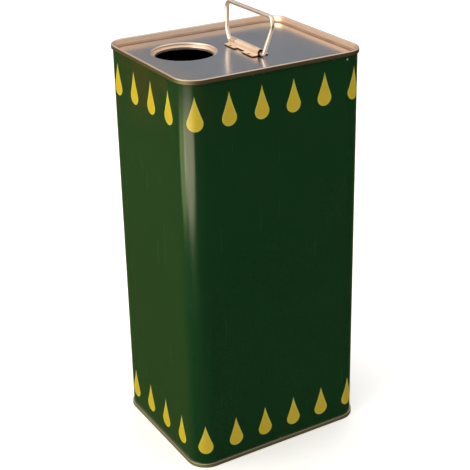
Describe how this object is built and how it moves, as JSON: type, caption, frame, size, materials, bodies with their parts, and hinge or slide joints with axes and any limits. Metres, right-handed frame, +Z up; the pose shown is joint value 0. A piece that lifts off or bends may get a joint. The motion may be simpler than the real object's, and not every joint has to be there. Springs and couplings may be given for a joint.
{
  "type": "oil can",
  "caption": "Tall rectangular tinplate oil can with a printed body, double-seamed ends, a recessed pour opening and a folding wire bail on top.",
  "frame": {"origin": "bottom centre of the can, on the surface that it stands on", "axes": "+Z up along the can; X along the wide faces, Y along the narrow faces; the pour opening is on the -X, +Y side of the top"},
  "size_m": [0.1504, 0.1244, 0.3359],
  "materials": {
    "printed_tinplate": "glossy lacquered print",
    "bare_tinplate": "bright rolled tinplate",
    "seam_compound": "matt",
    "bracket_steel": "satin tinned sheet",
    "bail_wire": "smooth drawn wire"
  },
  "bodies": {
    "can": {"body_shell": "printed_tinplate", "top_end": "bare_tinplate", "bottom_end": "bare_tinplate", "top_seam_compound": "seam_compound", "bottom_seam_compound": "seam_compound", "handle_bracket": "bracket_steel"},
    "bail": {"bail_handle": "bail_wire"}
  },
  "joints": [
    {"name": "bail_pivot", "type": "hinge", "parent": "can", "child": "bail", "pos_m": [0.0095, -0.001, 0.30595], "axis": [0, 1, 0], "range_deg": [-95.7, 84.3]}
  ]
}
